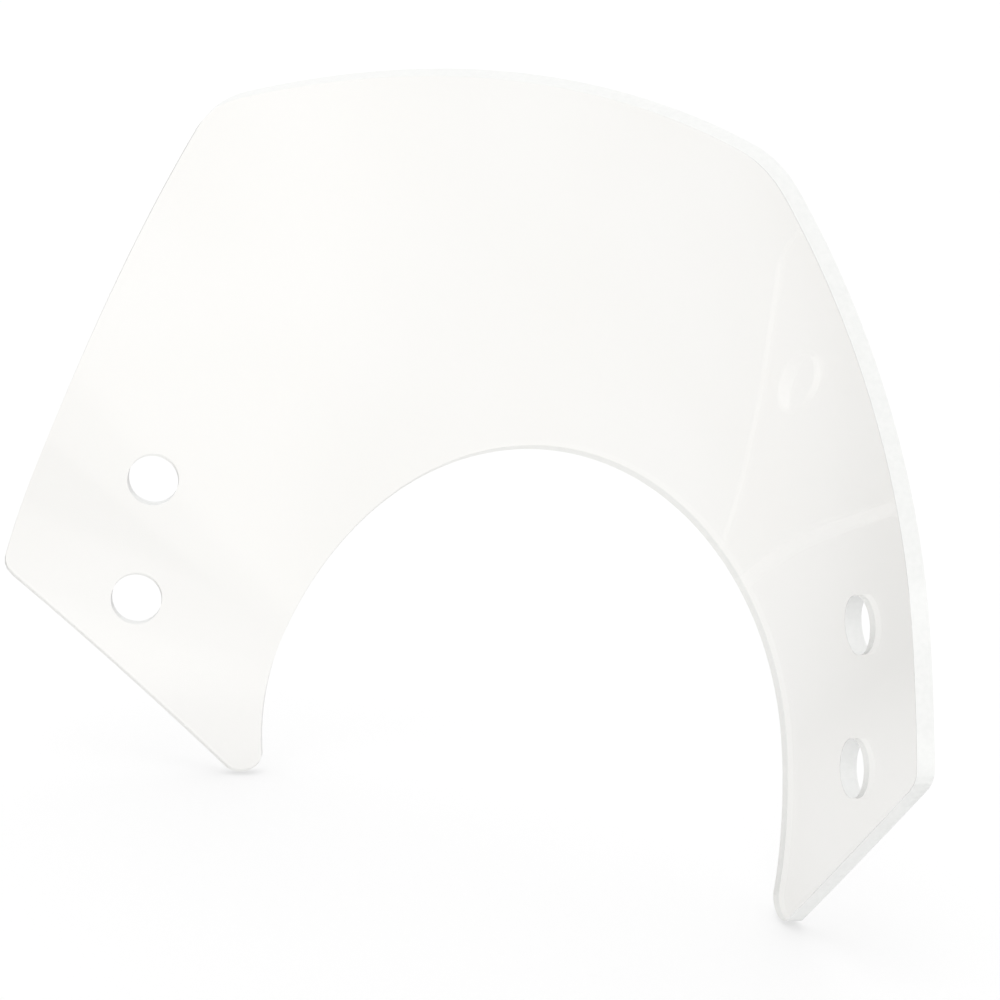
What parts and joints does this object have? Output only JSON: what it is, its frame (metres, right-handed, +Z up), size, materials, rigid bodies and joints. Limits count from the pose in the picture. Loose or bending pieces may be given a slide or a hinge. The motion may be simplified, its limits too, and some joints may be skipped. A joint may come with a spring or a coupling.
{
  "type": "headlight cowl",
  "caption": "Clear double-curved plastic cowl that arches over a round headlight, with fastener holes in both wings.",
  "frame": {"origin": "centre of the bounding box from side to side and front to back, level with the lowest point of the two tips", "axes": "+X from wing to wing, -Y to the front (the bulged face), +Y to the rider, +Z up"},
  "size_m": [0.2692, 0.0654, 0.1877],
  "materials": {
    "clear_plastic": "clear, polished, with trimmed edges"
  },
  "bodies": {
    "root": {"cowl": "clear_plastic"}
  },
  "joints": []
}
